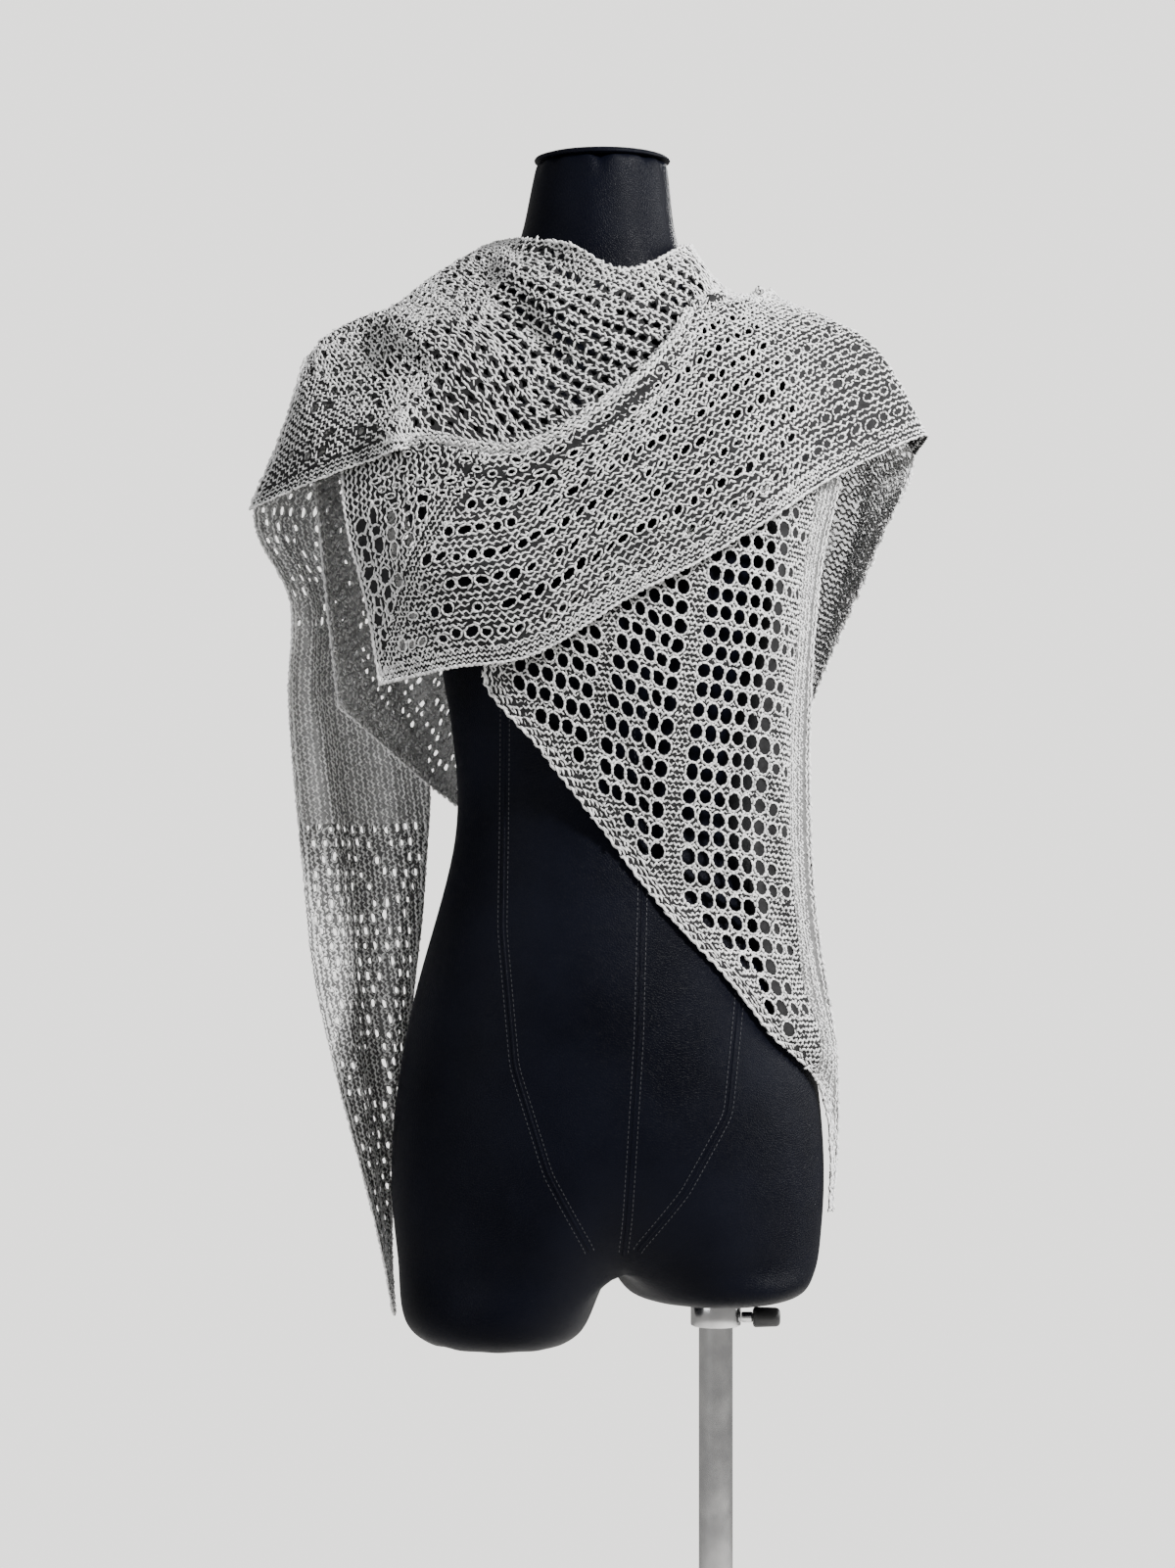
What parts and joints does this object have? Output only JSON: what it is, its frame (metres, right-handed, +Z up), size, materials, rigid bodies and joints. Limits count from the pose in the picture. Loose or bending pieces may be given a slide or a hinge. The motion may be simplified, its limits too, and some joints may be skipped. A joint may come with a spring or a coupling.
{
  "type": "triangle scarf on a dress form",
  "caption": "Lace-knit triangle scarf wound round the neck and shoulders of a limbless dress form that stands on a pole with a round base.",
  "frame": {"origin": "middle of the round base's underside, on the pole's axis", "axes": "+Z up, -Y the way the front looks, +X to the right of someone who looks at the front"},
  "size_m": [0.5179, 0.35, 1.5193],
  "materials": {
    "leather": "semi-matt, fine grain",
    "chrome": "polished",
    "black_plastic": "satin",
    "knit": "matt melange yarn"
  },
  "bodies": {
    "root": {"torso": "leather", "neck_cap": "leather", "stand_base": "chrome", "stand_pole": "chrome", "clamp_collar": "chrome", "clamp_screw": "chrome", "clamp_knob": "black_plastic", "front_stretch": "knit", "neck_stretch": "knit", "back_stretch": "knit", "rear_tail": "knit", "front_tail": "knit"}
  },
  "joints": []
}
